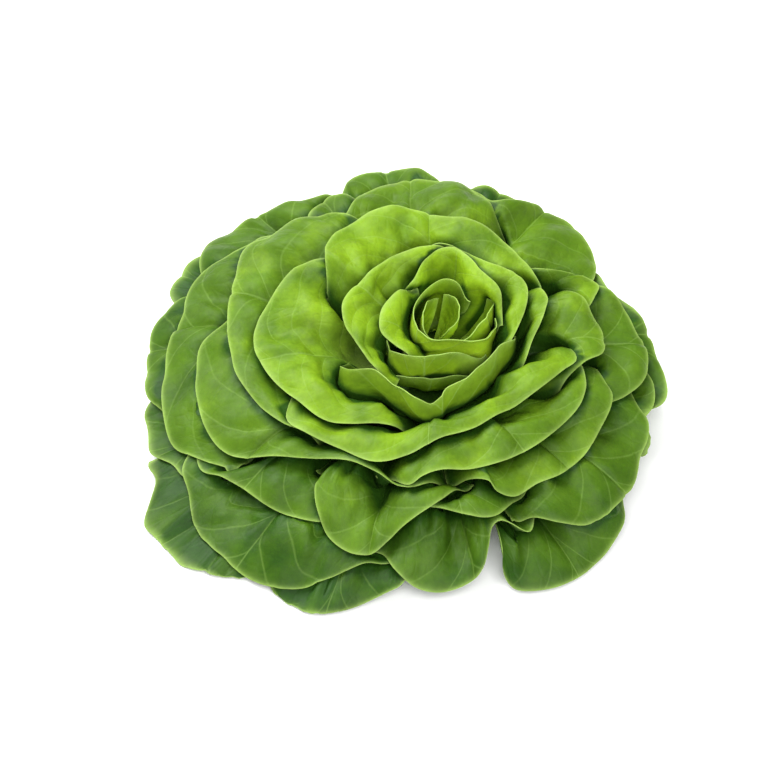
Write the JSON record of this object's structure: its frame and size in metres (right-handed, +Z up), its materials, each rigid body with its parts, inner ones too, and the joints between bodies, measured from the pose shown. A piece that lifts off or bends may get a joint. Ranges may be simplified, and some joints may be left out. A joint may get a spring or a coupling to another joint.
{
  "type": "butterhead lettuce head",
  "caption": "Loose round butterhead lettuce: wide soft waved leaves nested round a folded pale heart, all growing from a short stem cut flat at the base.",
  "frame": {"origin": "centre of the flat cut face under the stem, on the table", "axes": "+Z up out of the heart, -Y towards the front to which the heart leans, +X to the right seen from the front"},
  "size_m": [0.2853, 0.2691, 0.0807],
  "materials": {
    "leaf_heart": "satin, bright yellow-green",
    "leaf_middle": "satin, fresh green",
    "leaf_outer": "satin, deeper green",
    "stem_flesh": "matte, pale flesh"
  },
  "bodies": {
    "root": {"heart_bud_left": "leaf_heart", "heart_bud_right": "leaf_heart", "heart_lobe_right": "leaf_heart", "heart_ring": "leaf_heart", "heart_cup_left": "leaf_heart", "heart_cup_back": "leaf_heart", "heart_band_front": "leaf_heart", "heart_pale_front": "leaf_heart", "inner_left": "leaf_middle", "inner_right": "leaf_middle", "inner_front": "leaf_middle", "middle_curl_right": "leaf_middle", "middle_back": "leaf_middle", "middle_left": "leaf_middle", "middle_front": "leaf_middle", "fold_right": "leaf_middle", "curl_right": "leaf_middle", "second_front": "leaf_middle", "second_left": "leaf_outer", "third_front": "leaf_outer", "second_back": "leaf_outer", "back_right": "leaf_outer", "side_left_front": "leaf_outer", "fold_front": "leaf_outer", "under_fold_front": "leaf_outer", "side_right": "leaf_outer", "curl_back": "leaf_outer", "third_back": "leaf_outer", "far_back": "leaf_outer", "third_left": "leaf_outer", "back_left": "leaf_outer", "front_left": "leaf_outer", "lower_right": "leaf_outer", "edge_right_low": "leaf_outer", "edge_right": "leaf_outer", "front_middle": "leaf_outer", "front_right": "leaf_outer", "edge_left_top": "leaf_outer", "edge_back_left": "leaf_outer", "edge_left": "leaf_outer", "front_left_low": "leaf_outer", "front_low": "leaf_outer", "edge_front_left": "leaf_outer", "under_back_right": "leaf_outer", "under_back": "leaf_outer", "under_back_left": "leaf_outer", "stem": "stem_flesh"}
  },
  "joints": []
}
